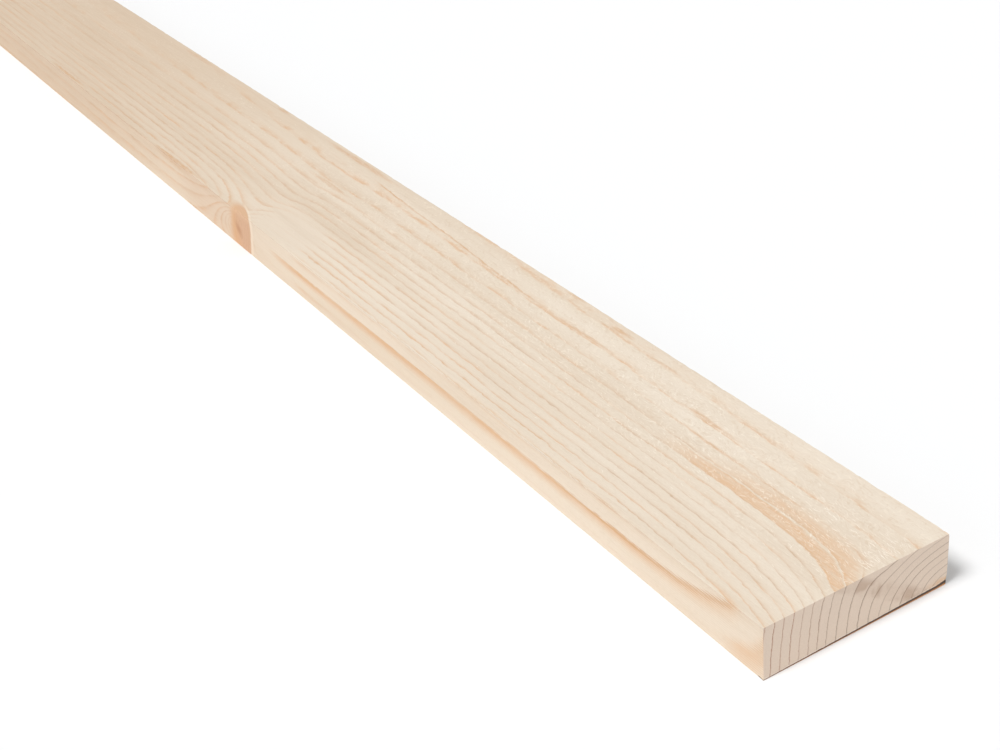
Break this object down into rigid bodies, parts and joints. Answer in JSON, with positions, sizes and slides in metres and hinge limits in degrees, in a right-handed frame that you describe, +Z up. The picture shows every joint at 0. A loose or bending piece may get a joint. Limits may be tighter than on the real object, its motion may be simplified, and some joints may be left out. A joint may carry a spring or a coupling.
{
  "type": "sawn softwood plank",
  "caption": "Straight rectangular board of sawn pale softwood with square-cut ends, lying flat on its wide face; building stock to cut, nail, screw or stack.",
  "frame": {"origin": "middle of the bottom face, on the floor, at mid-length and mid-width", "axes": "+X along the length towards the knot's nearer end, +Y across the width to the edge away from the knot, +Z up through the thickness"},
  "size_m": [1.8, 0.1, 0.027],
  "materials": {
    "softwood": "matte"
  },
  "bodies": {
    "root": {"plank": "softwood"}
  },
  "joints": []
}
